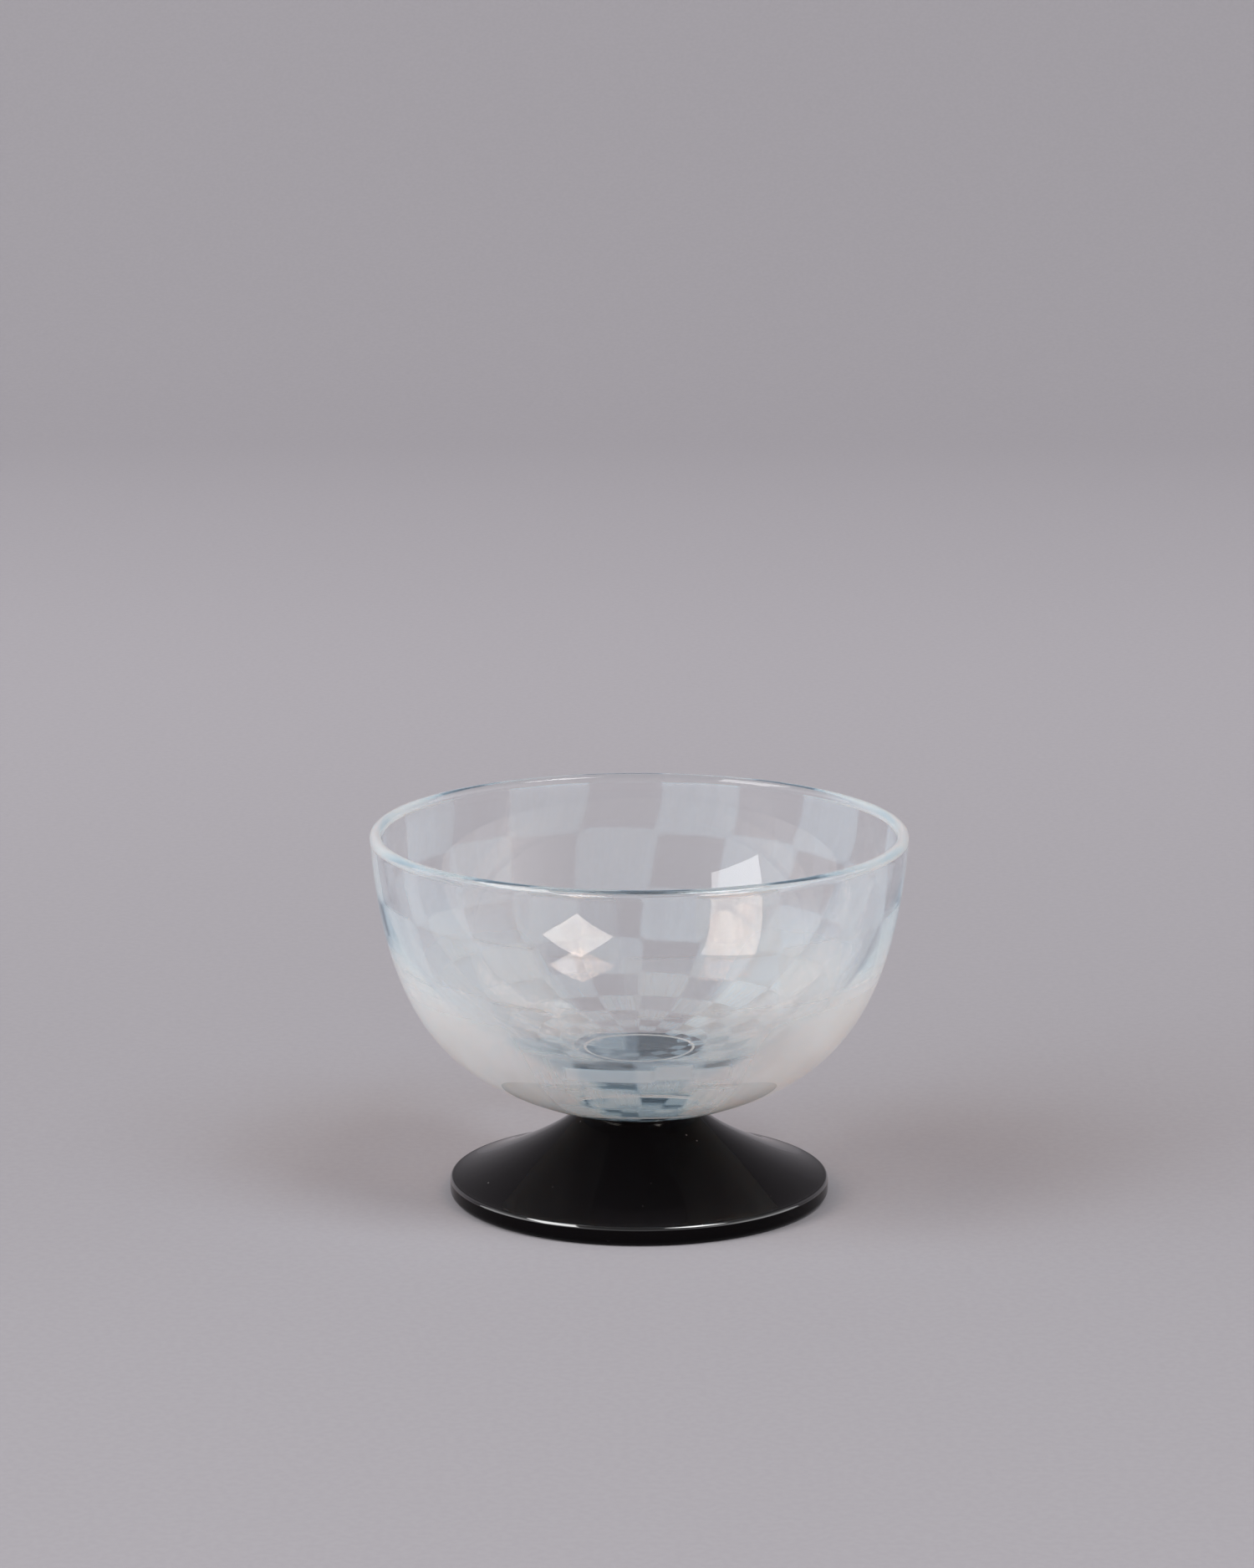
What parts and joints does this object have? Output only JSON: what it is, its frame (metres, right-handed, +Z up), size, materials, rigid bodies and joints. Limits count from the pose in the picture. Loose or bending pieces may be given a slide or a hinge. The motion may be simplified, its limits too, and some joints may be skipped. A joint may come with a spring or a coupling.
{
  "type": "footed dessert glass",
  "caption": "Round clear glass bowl with a milky opal check in its wall, fused to a low flared black glass foot.",
  "frame": {"origin": "centre of the ring that the foot stands on, on the table", "axes": "+Z up along the axis of the bowl and foot, -Y towards the front as the picture shows it"},
  "size_m": [0.1, 0.1, 0.07],
  "materials": {
    "clear_glass": "fire-polished clear glass, gloss",
    "opal_glass": "milky blue-white opalescent glass, gloss",
    "black_glass": "opaque black glass with a faint purple-brown tone, gloss"
  },
  "bodies": {
    "root": {"bowl": "clear_glass", "opal_checks": "opal_glass", "foot": "black_glass"}
  },
  "joints": []
}
